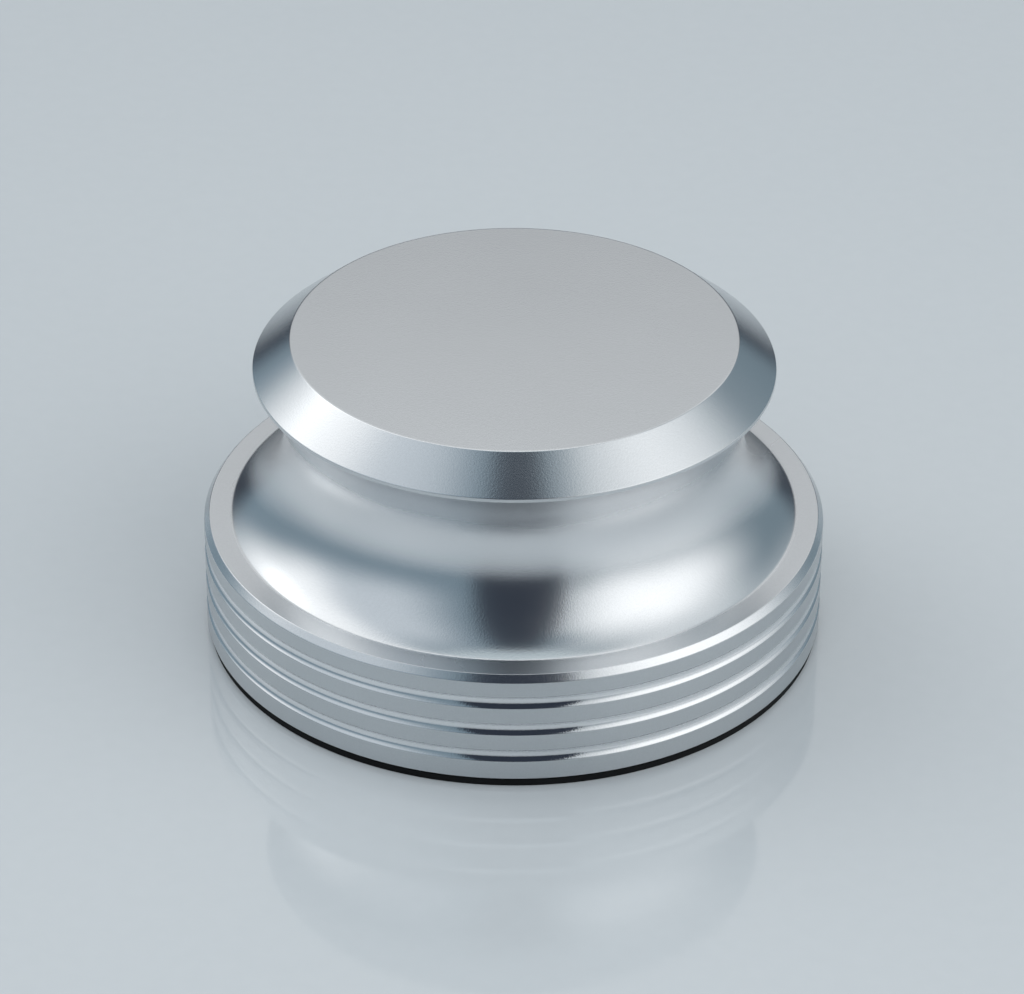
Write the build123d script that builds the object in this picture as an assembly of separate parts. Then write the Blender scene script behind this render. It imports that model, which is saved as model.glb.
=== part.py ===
"""Record weight: a turned aluminium body with a waist, on a thin rubber pad.

Millimetres, +Z up along the axis of turning. The origin is the centre of the pad's underside,
where the weight rests on a record's label.
"""
import os
from math import radians, tan

from build123d import *

# Heights of the metal, from its underside
body_height = 40.6
foot_height = 15.4

# Head: a flat top face, a bevel round it and a narrow upright rim
head_diameter = 66.4
bevel_width = 4.8
bevel_height = 3.92
rim_height = 0.45

# Waist: one round hollow from the rim down to the shoulder, where fingers grip the weight
waist_depth = 5.25

# Foot: a flat shoulder with a chamfered edge, then an upright wall
foot_diameter = 80.0
shoulder_width = 3.6
shoulder_chamfer_width = 0.7
shoulder_chamfer_height = 0.87
foot_edge_chamfer = 0.25

# Grooves round the foot's wall, each with sloping flanks and a narrow floor
groove_count = 3
groove_pitch = 3.93
groove_width = 1.7
groove_floor = 0.7
groove_depth = 0.38

# Spindle hole: drilled up from the underside, a loose fit on a record player's spindle
spindle_diameter = 7.15
spindle_clearance = 0.25
spindle_hole_depth = 22.0
spindle_hole_countersink = 0.8
drill_point_angle = 118.0

# Pad: cut from rubber sheet and glued to the underside, a little inside the foot's edge
pad_thickness = 0.9
pad_inset = 0.3
pad_hole_margin = 1.5

# Levels and radii that follow from the sizes above
underside = pad_thickness
shoulder_level = underside + foot_height
top_level = underside + body_height
rim_top = top_level - bevel_height
rim_bottom = rim_top - rim_height
rim_radius = head_diameter / 2
foot_radius = foot_diameter / 2
spindle_hole_radius = (spindle_diameter + spindle_clearance) / 2
countersink_radius = spindle_hole_radius + spindle_hole_countersink


def turned(outline):
    """Solid made by spinning a closed outline, drawn as radius and height, round the axis."""
    return revolve(Plane.XZ * make_face(outline), Axis.Z)


def blank():
    """The body before it is grooved and drilled: head, waist and foot in one outline."""
    rim_edge = (rim_radius, rim_bottom)
    waist_foot = (foot_radius - shoulder_width, shoulder_level)
    head = Polyline(
        (0, underside),
        (0, top_level),
        (rim_radius - bevel_width, top_level),
        (rim_radius, rim_top),
        rim_edge,
    )
    waist = SagittaArc(rim_edge, waist_foot, -waist_depth)
    foot = Polyline(
        waist_foot,
        (foot_radius - shoulder_chamfer_width, shoulder_level),
        (foot_radius, shoulder_level - shoulder_chamfer_height),
        (foot_radius, underside + foot_edge_chamfer),
        (foot_radius - foot_edge_chamfer, underside),
        (0, underside),
    )
    return turned(head + waist + foot)


def grooves():
    """Rings that cut the grooves, spaced about the middle of the foot's height."""
    lowest = underside + (foot_height - (groove_count - 1) * groove_pitch) / 2
    ring = turned(
        Polyline(
            (foot_radius, groove_width / 2),
            (foot_radius - groove_depth, groove_floor / 2),
            (foot_radius - groove_depth, -groove_floor / 2),
            (foot_radius, -groove_width / 2),
            close=True,
        )
    )
    return [Pos(0, 0, lowest + i * groove_pitch) * ring for i in range(groove_count)]


def spindle_hole():
    """Blind hole with a countersunk mouth and the cone that the drill leaves at its end."""
    drill_point_height = spindle_hole_radius / tan(radians(drill_point_angle / 2))
    hole_end = underside + spindle_hole_depth
    return turned(
        Polyline(
            (0, underside),
            (countersink_radius, underside),
            (spindle_hole_radius, underside + spindle_hole_countersink),
            (spindle_hole_radius, hole_end),
            (0, hole_end + drill_point_height),
            close=True,
        )
    )


def weight_body():
    """The whole turning, grooved round its foot and drilled from below."""
    return blank() - grooves() - spindle_hole()


def base_pad():
    """Flat rubber ring whose hole stays clear of the spindle hole's mouth."""
    sheet = Circle(foot_radius - pad_inset) - Circle(countersink_radius + pad_hole_margin)
    return extrude(sheet, pad_thickness)


os.makedirs("parts", exist_ok=True)
export_step(weight_body(), "parts/weight_body.step")
export_step(base_pad(), "parts/base_pad.step")
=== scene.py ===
"""Looks of a record weight: a turned, satin aluminium body on a thin black rubber pad.

Metres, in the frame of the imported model: +Z up along the axis of turning, the origin in the middle of the
pad's underside. A section is a line of radius and height, and both pieces are sections carried round that
axis.
"""
import math

import bpy
import numpy as np
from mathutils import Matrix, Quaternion, Vector


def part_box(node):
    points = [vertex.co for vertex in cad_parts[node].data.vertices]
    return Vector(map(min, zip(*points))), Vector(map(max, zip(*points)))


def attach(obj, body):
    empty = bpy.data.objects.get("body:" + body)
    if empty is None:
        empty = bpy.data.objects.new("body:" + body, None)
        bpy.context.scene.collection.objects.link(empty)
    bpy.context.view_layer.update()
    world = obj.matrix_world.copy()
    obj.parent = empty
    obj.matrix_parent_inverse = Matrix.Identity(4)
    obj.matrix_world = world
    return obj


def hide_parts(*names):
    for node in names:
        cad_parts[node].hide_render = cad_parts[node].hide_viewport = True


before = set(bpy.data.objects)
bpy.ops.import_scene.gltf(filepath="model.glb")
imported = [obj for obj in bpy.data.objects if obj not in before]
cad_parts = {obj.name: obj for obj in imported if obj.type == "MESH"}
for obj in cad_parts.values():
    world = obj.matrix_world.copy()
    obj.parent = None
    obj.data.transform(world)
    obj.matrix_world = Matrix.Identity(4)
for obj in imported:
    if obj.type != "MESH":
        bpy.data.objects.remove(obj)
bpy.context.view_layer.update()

# Weight body: one turning of aluminium bar, with a bevelled head, a round hollow waist to lift it by and three
# grooves round its foot. A blind hole for the record player's spindle is drilled up from below. The metal is
# blasted to a fine satin, coarsest on the rim and between the bright-cut grooves, and clear anodised.
body_low, body_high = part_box("weight_body")
underside = body_low.z
top_level = body_high.z
foot_radius = body_high.x

rim_radius = 0.0332
bevel_width = 0.0048
bevel_height = 0.00392
rim_height = 0.00045
waist_depth = 0.00525
foot_height = 0.0154
shoulder_width = 0.0036
shoulder_chamfer_width = 0.0007
shoulder_chamfer_height = 0.00087
foot_chamfer = 0.00038

groove_count = 3
groove_pitch = 0.00393
groove_width = 0.00171
groove_depth = 0.00041

spindle_hole_radius = 0.0037
spindle_hole_depth = 0.022
countersink = 0.0008
drill_point_angle = 118

top_edge_break = 0.00024
edge_break = 0.00014
groove_edge_break = 0.00006
waist_foot_fillet = 0.0004

# Finishes, as coarseness and dullness
satin = (0, 0)
bright_cut = (-0.45, 0)
under_head = (0.75, 0)
shelf_satin = (0.45, 0)
blasted_rim = (0.9, 0.6)
blasted_land = (0.9, 1)

# Division of a section into points, and of its way round the axis
fine_step = 0.00002
fewest_points = 3
edge_run_in = 0.0004
turn_per_point = math.radians(5)
longest_gap = 0.0016
segments_round = 192

# Noise of the surface grain, which lies mostly between a low and a high value
grain_detail = 1.0
patch_detail = 3.0
patches_in_tone = 0.5
noise_low, noise_high = 0.3, 0.7


def stroke(start, end, swell):
    """Points of one stroke of a section, a fine step apart.

    It is straight, or an arc that swells to the left of its direction. For half a chord c and a swell s, the
    arc's radius is (c * c + s * s) / 2s and half of its angle is twice the arctangent of s / c.
    """
    half_chord = np.linalg.norm(end - start) / 2
    along = (end - start) / (2 * half_chord)
    left = np.array([-along[1], along[0]])
    t = np.linspace(-1, 1, max(fewest_points, round(2 * half_chord / fine_step)))[:, None]
    middle = (start + end) / 2
    if swell == 0:
        return middle + half_chord * t * along
    radius = (half_chord**2 + swell**2) / (2 * swell)
    half_angle = 2 * math.atan(swell / half_chord)
    rise = radius * (np.cos(half_angle * t) - math.cos(half_angle))
    return middle + radius * np.sin(half_angle * t) * along + rise * left


def window_mean(line, width):
    """Mean of an evenly divided line over a window of its own width at each point.

    It is the difference of the line's running total at the window's two ends, divided by the width. Past its
    ends the line goes on by point symmetry.
    """
    half = np.maximum(width / fine_step, 1) / 2
    reach = math.ceil(half.max())
    longer = np.pad(line, ((reach, reach), (0, 0)), mode="reflect", reflect_type="odd")
    total = np.cumsum(longer, axis=0) - longer / 2
    place = reach + np.arange(len(line))
    index = np.arange(len(longer))
    upper, lower = (
        np.stack([np.interp(end, index, column) for column in total.T], axis=1)
        for end in (place + half, place - half)
    )
    return (upper - lower) / (2 * half)[:, None]


def rounded_section(corners):
    """Points of radius, height, coarseness and dullness along a section with rounded corners.

    A corner gives its radius, its height and the width of its rounding, then the swell and the first and last
    finish of the stroke that leads to it. The strokes are joined and divided evenly, and each point gives way
    to its window's mean, which rounds the corners and leaves straight stretches alone. The window's width runs
    from each corner's rounding to the next, and a stroke's finish from its first to its last by the square of
    the way that is left. Points are then kept evenly over a running sum of length and of turning, so that they
    crowd at the edges and arcs and just before them.
    """
    radii, heights, roundings, swells, first_finishes, last_finishes = zip(*corners)
    places = np.column_stack([radii, heights])
    strokes = [stroke(*step) for step in zip(places[:-1], places[1:], swells[1:])]
    line = np.concatenate([strokes[0][:1]] + [points[1:] for points in strokes])
    length = np.r_[0, np.cumsum(np.linalg.norm(np.diff(line, axis=0), axis=1))]
    corner_length = length[np.cumsum([0] + [len(points) - 1 for points in strokes])]
    even = np.linspace(0, length[-1], round(length[-1] / fine_step))
    line = np.stack([np.interp(even, length, column) for column in line.T], axis=1)

    stroke_number = np.clip(np.searchsorted(corner_length, even), 1, len(strokes))
    way_left = (corner_length[stroke_number] - even) / np.diff(corner_length)[stroke_number - 1]
    first = np.array(first_finishes, float)[stroke_number]
    last = np.array(last_finishes, float)[stroke_number]
    line = np.column_stack([line, last + (first - last) * way_left[:, None] ** 2])
    line = window_mean(line, np.interp(even, corner_length, roundings))

    step = np.gradient(line, axis=0)
    heading = np.unwrap(np.arctan2(step[:, 1], step[:, 0]))
    turning = window_mean(np.abs(np.gradient(heading))[:, None], np.full(len(line), edge_run_in))[:, 0]
    crowding = np.cumsum(turning / turn_per_point + fine_step / longest_gap)
    kept = np.linspace(crowding[0], crowding[-1], round(crowding[-1]))
    return np.stack([np.interp(kept, crowding, column) for column in line.T], axis=1)


def turned(name, section, ring):
    """Object whose surface is a section carried once round the axis.

    Each point of radius r and height z goes to (r cos a, r sin a, z) at even angles a. A ring's section is
    closed on itself. Any other starts and ends on the axis, where one point closes a fan of triangles.
    """
    angle = np.linspace(0, 2 * math.pi, segments_round, endpoint=False)
    swept = section[:-1] if ring else section[1:-1]
    points = np.stack(
        [
            np.outer(swept[:, 0], np.cos(angle)),
            np.outer(swept[:, 0], np.sin(angle)),
            np.repeat(swept[:, 1:2], segments_round, axis=1),
        ],
        axis=-1,
    ).reshape(-1, 3)
    index = np.arange(len(points)).reshape(len(swept), segments_round)
    if ring:
        index = np.vstack([index, index[:1]])
    beside = np.roll(index, -1, axis=1)
    quads = np.stack([index[:-1], index[1:], beside[1:], beside[:-1]], axis=-1).reshape(-1, 4)
    faces = quads.tolist()
    if not ring:
        first = np.full(segments_round, len(points))
        last = first + 1
        points = np.vstack([points, [0, 0, section[0, 1]], [0, 0, section[-1, 1]]])
        faces += np.stack([first, index[0], beside[0]], axis=-1).tolist()
        faces += np.stack([index[-1], last, beside[-1]], axis=-1).tolist()
    mesh = bpy.data.meshes.new(name)
    mesh.from_pydata(points.tolist(), [], faces)
    mesh.polygons.foreach_set("use_smooth", np.ones(len(faces), bool))
    for finish, amounts in zip(("coarseness", "dullness"), swept.T[2:]):
        value = np.repeat(amounts, segments_round)
        value = np.r_[value, np.zeros(len(points) - len(value))].astype(np.float32)
        mesh.attributes.new(finish, "FLOAT", "POINT").data.foreach_set("value", value)
    mesh.update()
    piece = bpy.data.objects.new(name, mesh)
    bpy.context.scene.collection.objects.link(piece)
    return piece


def body_section():
    """The turning's half outline: out over the top, down the outside, in under the foot and up the hole."""
    rim_top = top_level - bevel_height
    shoulder_level = underside + foot_height
    middle = (underside + shoulder_level) / 2
    mouth_radius = spindle_hole_radius + countersink
    hole_end = underside + spindle_hole_depth
    drill_point_slope = math.tan(math.radians(90 - drill_point_angle / 2))
    corners = [
        (0, top_level, 0, 0, satin, satin),
        (rim_radius - bevel_width, top_level, top_edge_break, 0, satin, satin),
        (rim_radius, rim_top, edge_break, 0, satin, satin),
        (rim_radius, rim_top - rim_height, edge_break, 0, blasted_rim, blasted_rim),
        (foot_radius - shoulder_width, shoulder_level, waist_foot_fillet, -waist_depth, under_head, satin),
        (foot_radius - shoulder_chamfer_width, shoulder_level, edge_break, 0, shelf_satin, shelf_satin),
        (foot_radius, shoulder_level - shoulder_chamfer_height, edge_break, 0, satin, satin),
    ]
    for i in range(groove_count):
        centre = middle + ((groove_count - 1) / 2 - i) * groove_pitch
        groove_top, groove_bottom = centre + groove_width / 2, centre - groove_width / 2
        corners += [
            (foot_radius, groove_top, groove_edge_break, 0, blasted_land, blasted_land),
            (foot_radius, groove_bottom, groove_edge_break, -groove_depth, bright_cut, bright_cut),
        ]
    corners += [
        (foot_radius, underside + foot_chamfer, edge_break, 0, blasted_land, blasted_land),
        (foot_radius - foot_chamfer, underside, edge_break, 0, satin, satin),
        (mouth_radius, underside, edge_break, 0, satin, satin),
        (spindle_hole_radius, underside + countersink, edge_break, 0, satin, satin),
        (spindle_hole_radius, hole_end, edge_break, 0, satin, satin),
        (0, hole_end + spindle_hole_radius * drill_point_slope, 0, 0, satin, satin),
    ]
    return rounded_section(corners)


def surface_grain():
    """Node group for a fine grain and slow patches: noise of two sizes, and their mean as the tone."""
    group = bpy.data.node_groups.new("surface_grain", "ShaderNodeTree")
    group.interface.new_socket("Point", in_out="INPUT", socket_type="NodeSocketVector")
    group.interface.new_socket("Grains per metre", in_out="INPUT", socket_type="NodeSocketFloat")
    group.interface.new_socket("Patches per metre", in_out="INPUT", socket_type="NodeSocketFloat")
    group.interface.new_socket("Grain", in_out="OUTPUT", socket_type="NodeSocketFloat")
    group.interface.new_socket("Patches", in_out="OUTPUT", socket_type="NodeSocketFloat")
    group.interface.new_socket("Tone", in_out="OUTPUT", socket_type="NodeSocketFloat")
    nodes, links = group.nodes, group.links
    given = nodes.new("NodeGroupInput")
    result = nodes.new("NodeGroupOutput")
    tone = nodes.new("ShaderNodeMix")
    tone.inputs["Factor"].default_value = patches_in_tone
    for size, output, detail, side in (
        ("Grains per metre", "Grain", grain_detail, "A"),
        ("Patches per metre", "Patches", patch_detail, "B"),
    ):
        noise = nodes.new("ShaderNodeTexNoise")
        noise.inputs["Detail"].default_value = detail
        links.new(given.outputs["Point"], noise.inputs["Vector"])
        links.new(given.outputs[size], noise.inputs["Scale"])
        links.new(noise.outputs["Fac"], result.inputs[output])
        links.new(noise.outputs["Fac"], tone.inputs[side])
    links.new(tone.outputs["Result"], result.inputs["Tone"])
    return group


def grained_material(name, grains, patches, grain_depth, colours, roughness):
    """Principled material whose colour and roughness drift with the grain's noise.

    Its normal has the grain too, unless the grain's depth is nothing and the surface is smooth.
    """
    material = bpy.data.materials.new(name)
    material.use_nodes = True
    nodes, links = material.node_tree.nodes, material.node_tree.links
    shader = nodes["Principled BSDF"]
    place = nodes.new("ShaderNodeTexCoord")
    grain = nodes.new("ShaderNodeGroup")
    grain.node_tree = bpy.data.node_groups.get("surface_grain") or surface_grain()
    grain.inputs["Grains per metre"].default_value = grains
    grain.inputs["Patches per metre"].default_value = patches
    links.new(place.outputs["Object"], grain.inputs["Point"])

    tint = nodes.new("ShaderNodeValToRGB")
    for stop, position, colour in zip(tint.color_ramp.elements, (noise_low, noise_high), colours):
        stop.position = position
        stop.color = (*colour, 1)
    links.new(grain.outputs["Tone"], tint.inputs["Fac"])
    links.new(tint.outputs["Color"], shader.inputs["Base Color"])

    gloss = nodes.new("ShaderNodeMapRange")
    gloss.inputs["From Min"].default_value = noise_low
    gloss.inputs["From Max"].default_value = noise_high
    gloss.inputs["To Min"].default_value = roughness[0]
    gloss.inputs["To Max"].default_value = roughness[1]
    links.new(grain.outputs["Patches"], gloss.inputs["Value"])
    links.new(gloss.outputs["Result"], shader.inputs["Roughness"])

    if grain_depth > 0:
        bump = nodes.new("ShaderNodeBump")
        bump.inputs["Distance"].default_value = grain_depth
        links.new(grain.outputs["Grain"], bump.inputs["Height"])
        links.new(bump.outputs["Normal"], shader.inputs["Normal"])
    return material


def with_finishes(material, rougher, dulled):
    """Makes a material rougher by its surface's coarseness, and darker by its dullness."""
    nodes, links = material.node_tree.nodes, material.node_tree.links
    shader = nodes["Principled BSDF"]
    coarse = nodes.new("ShaderNodeAttribute")
    coarse.attribute_name = "coarseness"
    roughness = nodes.new("ShaderNodeMath")
    roughness.operation = "MULTIPLY_ADD"
    roughness.inputs[1].default_value = rougher
    links.new(coarse.outputs["Fac"], roughness.inputs[0])
    links.new(shader.inputs["Roughness"].links[0].from_socket, roughness.inputs[2])
    links.new(roughness.outputs["Value"], shader.inputs["Roughness"])

    dull = nodes.new("ShaderNodeAttribute")
    dull.attribute_name = "dullness"
    darker = nodes.new("ShaderNodeMix")
    darker.data_type = "RGBA"
    darker.blend_type = "MULTIPLY"
    darker.inputs["B"].default_value = (*dulled, 1)
    links.new(dull.outputs["Fac"], darker.inputs["Factor"])
    links.new(shader.inputs["Base Color"].links[0].from_socket, darker.inputs["A"])
    links.new(darker.outputs["Result"], shader.inputs["Base Color"])


weight_body = turned("weight_body_turning", body_section(), ring=False)
satin_aluminium = grained_material(
    "satin_aluminium",
    grains=4500,
    patches=45,
    grain_depth=0.000006,
    colours=((0.79, 0.80, 0.81), (0.85, 0.86, 0.87)),
    roughness=(0.17, 0.19),
)
satin_aluminium.node_tree.nodes["Principled BSDF"].inputs["Metallic"].default_value = 1.0
with_finishes(satin_aluminium, rougher=0.22, dulled=(0.755, 0.775, 0.785))
weight_body.data.materials.append(satin_aluminium)
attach(weight_body, "root")
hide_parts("weight_body")

# Base pad: a ring cut from thin rubber sheet and glued under the foot, so that the metal never touches the
# record's label. Its rim is a little inside the foot's, and its hole is clear of the spindle hole's mouth.
pad_low, pad_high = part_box("base_pad")
pad_radius = pad_high.x
pad_hole_margin = 0.0015
pad_edge_break = 0.00015
plain_rubber = (0, 0)
rubber_specular = 0.2


def pad_section():
    """The ring's closed outline: out over its glued face, down its rim, in underneath and up its hole."""
    hole_radius = spindle_hole_radius + countersink + pad_hole_margin
    middle = (hole_radius + pad_radius) / 2
    corners = [
        (middle, pad_high.z, 0, 0, plain_rubber, plain_rubber),
        (pad_radius, pad_high.z, pad_edge_break, 0, plain_rubber, plain_rubber),
        (pad_radius, pad_low.z, pad_edge_break, 0, plain_rubber, plain_rubber),
        (hole_radius, pad_low.z, pad_edge_break, 0, plain_rubber, plain_rubber),
        (hole_radius, pad_high.z, pad_edge_break, 0, plain_rubber, plain_rubber),
        (middle, pad_high.z, 0, 0, plain_rubber, plain_rubber),
    ]
    return rounded_section(corners)


base_pad = turned("base_pad_ring", pad_section(), ring=True)
black_rubber = grained_material(
    "black_rubber",
    grains=2500,
    patches=120,
    grain_depth=0.00002,
    colours=((0.005, 0.0055, 0.006), (0.008, 0.0085, 0.009)),
    roughness=(0.65, 0.8),
)
black_rubber.node_tree.nodes["Principled BSDF"].inputs["Specular IOR Level"].default_value = rubber_specular
base_pad.data.materials.append(black_rubber)
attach(base_pad, "root")
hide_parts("base_pad")

# Floor: a wide sheet of pale, polished plastic. The weight stands on it and shows in it as a faint mirror
# image.
floor_half_width = 6.0
floor_ior = 1.7
floor_mesh = bpy.data.meshes.new("floor")
floor_corners = np.array([(-1, -1, 0), (1, -1, 0), (1, 1, 0), (-1, 1, 0)]) * floor_half_width
floor_mesh.from_pydata(floor_corners.tolist(), [], [(0, 1, 2, 3)])
floor = bpy.data.objects.new("floor", floor_mesh)
bpy.context.scene.collection.objects.link(floor)
pale_plastic = grained_material(
    "pale_plastic",
    grains=400,
    patches=6,
    grain_depth=0,
    colours=((0.592, 0.630, 0.653), (0.608, 0.645, 0.668)),
    roughness=(0.05, 0.07),
)
pale_plastic.node_tree.nodes["Principled BSDF"].inputs["IOR"].default_value = floor_ior
floor.data.materials.append(pale_plastic)

# Studio: a dark room with soft white panels at its sides, above and behind, brightest in the middles of the
# left and right ones. The gap between those two, where the camera stands, is the dark column in the metal.
# Three broad lamps light the floor alone, since the metal already shows the panels that they stand for.
room_colour = (0.030, 0.038, 0.055)
panels = [
    # name, azimuth and elevation as (middle, half width, softness) in degrees, and colour, from the back to
    # the front: each covers those above it
    ("left wall", (-82, 65, 5), (18.5, 58.5, 3), (0.190, 0.262, 0.316)),
    ("right wall", (86, 63, 5), (18.5, 58.5, 3), (0.181, 0.243, 0.286)),
    ("ceiling", (0, 200, 5), (93.5, 17, 3), (0.525, 0.61, 0.65)),
    ("overhead", (180, 80, 20), (74, 16, 8), (0.98, 1.01, 1.03)),
    ("backdrop", (180, 20, 8), (2, 14, 5), (0.115, 0.135, 0.15)),
    ("back", (180, 40, 20), (39, 12.5, 14), (0.80, 0.83, 0.85)),
    ("left fill", (-74, 36, 20), (43.5, 26.5, 14), (0.585, 0.645, 0.70)),
    ("right fill", (118, 16, 14), (52, 14, 14), (0.56, 0.615, 0.65)),
    ("right", (66.5, 37.5, 27), (32.5, 30.5, 24), (1.18, 1.21, 1.23)),
    ("left", (-116.5, 24, 14), (43.5, 22.5, 13), (1.09, 1.12, 1.14)),
    ("middle of the right", (66, 6, 12), (33.5, 5, 11), (1.28, 1.31, 1.33)),
    ("middle of the left", (-121, 6, 8), (39.5, 6, 8), (1.95, 2.00, 2.04)),
    ("low corner of the right", (24, 11, 9), (5, 9, 9), (0.40, 0.445, 0.475)),
    ("high corner of the right", (25, 15, 18), (67, 6, 8), (0.181, 0.243, 0.286)),
    ("gap for the camera", (3, 20, 2), (34.6, 41.1, 6), room_colour),
    ("far floor", (3, 30, 4), (-5, 5, 2), (0.205, 0.233, 0.26)),
]
floor_lamps = [
    # name, azimuth, elevation and width in degrees, and strength
    ("right lamp", 72, 33, 60, 0.35),
    ("left lamp", -115, 43, 48, 0.42),
    ("front lamp", 5, 48, 54, 0.54),
]


def studio_world():
    """World whose light depends on direction alone. Azimuth is measured from the camera's side to the right.

    Each panel covers what is behind it by a mask, the product of two ramps that fall smoothly from one to
    nothing where the direction leaves the panel's width and its height.
    """
    world = bpy.data.worlds.new("studio")
    world.use_nodes = True
    nodes, links = world.node_tree.nodes, world.node_tree.links

    def math_node(operation, *inputs):
        node = nodes.new("ShaderNodeMath")
        node.operation = operation
        for socket, value in zip(node.inputs, inputs):
            if isinstance(value, bpy.types.NodeSocket):
                links.new(value, socket)
            else:
                socket.default_value = value
        return node.outputs["Value"]

    def ramp_down(distance, half_width, softness):
        node = nodes.new("ShaderNodeMapRange")
        node.interpolation_type = "SMOOTHSTEP"
        links.new(distance, node.inputs["Value"])
        node.inputs["From Min"].default_value = math.radians(half_width - softness)
        node.inputs["From Max"].default_value = math.radians(half_width + softness)
        node.inputs["To Min"].default_value = 1.0
        node.inputs["To Max"].default_value = 0.0
        return node.outputs["Result"]

    direction = nodes.new("ShaderNodeTexCoord")
    axes = nodes.new("ShaderNodeSeparateXYZ")
    links.new(direction.outputs["Generated"], axes.inputs["Vector"])
    azimuth = math_node("ARCTAN2", axes.outputs["X"], math_node("MULTIPLY", axes.outputs["Y"], -1.0))
    elevation = math_node("ARCSINE", axes.outputs["Z"])
    light = None
    for name, (across, half_width, side_softness), (up, half_height, end_softness), colour in panels:
        aside = math_node("WRAP", math_node("SUBTRACT", azimuth, math.radians(across)), math.pi, -math.pi)
        aside = ramp_down(math_node("ABSOLUTE", aside), half_width, side_softness)
        upright = math_node("ABSOLUTE", math_node("SUBTRACT", elevation, math.radians(up)))
        upright = ramp_down(upright, half_height, end_softness)
        cover = nodes.new("ShaderNodeMix")
        cover.label = name
        cover.data_type = "RGBA"
        links.new(math_node("MULTIPLY", aside, upright), cover.inputs["Factor"])
        if light is None:
            cover.inputs["A"].default_value = (*room_colour, 1)
        else:
            links.new(light, cover.inputs["A"])
        cover.inputs["B"].default_value = (*colour, 1)
        light = cover.outputs["Result"]
    links.new(light, nodes["Background"].inputs["Color"])
    return world


bpy.context.scene.world = studio_world()
for name, azimuth, elevation, width, strength in floor_lamps:
    azimuth, elevation = math.radians(azimuth), math.radians(elevation)
    level = math.cos(elevation)
    away = Vector((math.sin(azimuth) * level, -math.cos(azimuth) * level, math.sin(elevation)))
    lamp_data = bpy.data.lights.new(name, "SUN")
    lamp_data.angle = math.radians(width)
    lamp_data.energy = strength
    lamp = bpy.data.objects.new(name, lamp_data)
    lamp.rotation_mode = "QUATERNION"
    lamp.rotation_quaternion = (-away).to_track_quat("-Z", "Y")
    lamp.visible_camera = False
    lamp.visible_glossy = False
    bpy.context.scene.collection.objects.link(lamp)

# Camera: a long lens above the front, where the photograph was taken. It aims just above the shoulder and
# leans a quarter of a degree, as the photograph does.
camera_elevation = math.radians(31.777)
camera_distance = 0.5741
camera_aim = Vector((-0.00023, 0, 0.01739))
camera_roll = math.radians(0.267)
camera_lens = 156.27
camera_nearest = 0.01
camera_back = Vector((0, -math.cos(camera_elevation), math.sin(camera_elevation)))
camera_data = bpy.data.cameras.new("camera")
camera_data.lens = camera_lens
camera_data.clip_start = camera_nearest
camera = bpy.data.objects.new("camera", camera_data)
camera.location = camera_aim + camera_back * camera_distance
camera.rotation_mode = "QUATERNION"
camera.rotation_quaternion = (-camera_back).to_track_quat("-Z", "Y") @ Quaternion((0, 0, 1), camera_roll)
bpy.context.scene.collection.objects.link(camera)
bpy.context.scene.camera = camera
bpy.context.scene.view_settings.view_transform = "Standard"
